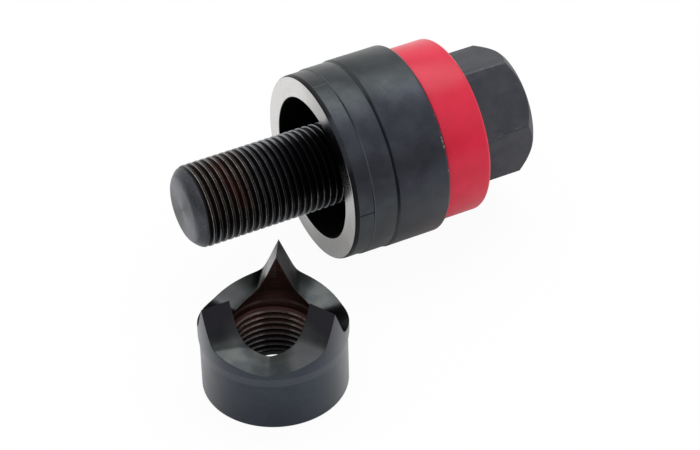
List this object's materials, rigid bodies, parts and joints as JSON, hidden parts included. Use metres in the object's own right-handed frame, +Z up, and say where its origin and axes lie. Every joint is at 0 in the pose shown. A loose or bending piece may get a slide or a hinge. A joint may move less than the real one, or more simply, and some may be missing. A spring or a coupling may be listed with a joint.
{
  "type": "sheet metal knockout punch",
  "caption": "Screw-drawn hole punch for sheet metal: crowned punch, round die, and a hexagon-headed draw stud that turns on a covered thrust ball bearing.",
  "frame": {"origin": "on the bench, below the middle of the whole set's bounding box", "axes": "+X along the draw stud from its threaded end to its hexagon head, +Z up from the bench"},
  "size_m": [0.0944, 0.0756, 0.0442],
  "materials": {
    "black_oxide_steel": "black oxide, satin; the die's cutting face is ground bright",
    "red_cover": "satin crimson coating",
    "bearing_steel": "ground and polished",
    "cage_brass": "machined"
  },
  "bodies": {
    "die_body": {"die": "black_oxide_steel"},
    "bearing_body": {"bearing_cover": "red_cover", "housing_washer": "bearing_steel"},
    "stud_body": {"draw_stud": "black_oxide_steel", "shaft_washer": "bearing_steel"},
    "cage_body": {"ball_cage": "cage_brass", "bearing_ball_01": "bearing_steel", "bearing_ball_02": "bearing_steel", "bearing_ball_03": "bearing_steel", "bearing_ball_04": "bearing_steel", "bearing_ball_05": "bearing_steel", "bearing_ball_06": "bearing_steel", "bearing_ball_07": "bearing_steel", "bearing_ball_08": "bearing_steel", "bearing_ball_09": "bearing_steel", "bearing_ball_10": "bearing_steel", "bearing_ball_11": "bearing_steel", "bearing_ball_12": "bearing_steel", "bearing_ball_13": "bearing_steel", "bearing_ball_14": "bearing_steel"},
    "punch_body": {"punch": "black_oxide_steel"}
  },
  "joints": [
    {"name": "bearing_pull", "type": "slide", "parent": "die_body", "child": "bearing_body", "axis": [1, 0, 0], "range_m": [0, 0.06]},
    {"name": "stud_turn", "type": "hinge", "parent": "bearing_body", "child": "stud_body", "pos_m": [0.03, 0.01569, 0.02208], "axis": [1, 0, 0], "continuous": true},
    {"name": "cage_turn", "type": "hinge", "parent": "bearing_body", "child": "cage_body", "pos_m": [0.0258, 0.01569, 0.02208], "axis": [1, 0, 0], "continuous": true},
    {"name": "punch_lift", "type": "slide", "parent": "die_body", "child": "punch_body", "axis": [0, 0, 1], "range_m": [0, 0.05]}
  ],
  "couplings": [
    {"joint": "cage_turn", "follows": "stud_turn", "ratio": 0.5}
  ]
}
